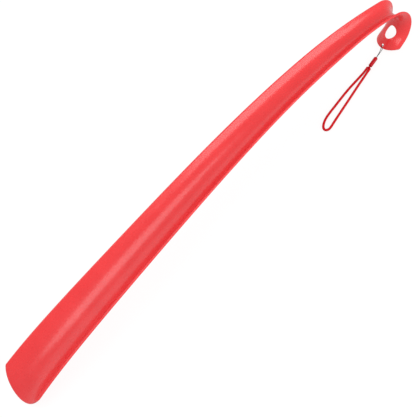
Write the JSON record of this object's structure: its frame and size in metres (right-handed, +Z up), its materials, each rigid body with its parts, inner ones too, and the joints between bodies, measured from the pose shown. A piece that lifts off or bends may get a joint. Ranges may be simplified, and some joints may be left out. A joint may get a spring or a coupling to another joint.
{
  "type": "long shoehorn",
  "caption": "Long moulded shoehorn: a curved channel with a wide blade, a turned-back hook with an oval hanging hole, and a hand loop of cord on a thread and barrel.",
  "frame": {"origin": "on the table, under the middle of the moulding's box, with the shoehorn lying on its back", "axes": "+X along the shoehorn from the blade to the hook, +Z up out of the channel's hollow side, +Y across"},
  "size_m": [0.6, 0.0586, 0.0829],
  "materials": {
    "red_plastic": "glossy moulded red plastic",
    "dark_red_plastic": "semi-gloss dark red plastic",
    "dark_thread": "fine near-black twisted thread",
    "red_cord": "woven deep red cord"
  },
  "bodies": {
    "moulding": {"shoehorn": "red_plastic"},
    "lanyard_head": {"eyelet_thread": "dark_thread", "lanyard_barrel": "dark_red_plastic"},
    "hand_loop": {"cord_crimp": "dark_red_plastic", "hand_loop_cord": "red_cord"}
  },
  "joints": [
    {"name": "lanyard_swing", "type": "hinge", "parent": "moulding", "child": "lanyard_head", "pos_m": [0.266, 0, 0.0057], "axis": [0, 0, 1], "range_deg": [-25, 15]},
    {"name": "loop_lift", "type": "hinge", "parent": "lanyard_head", "child": "hand_loop", "pos_m": [0.23752, -0.00585, 0.0023], "axis": [-0.1822, 0.9833, 0], "range_deg": [0, 30]}
  ]
}
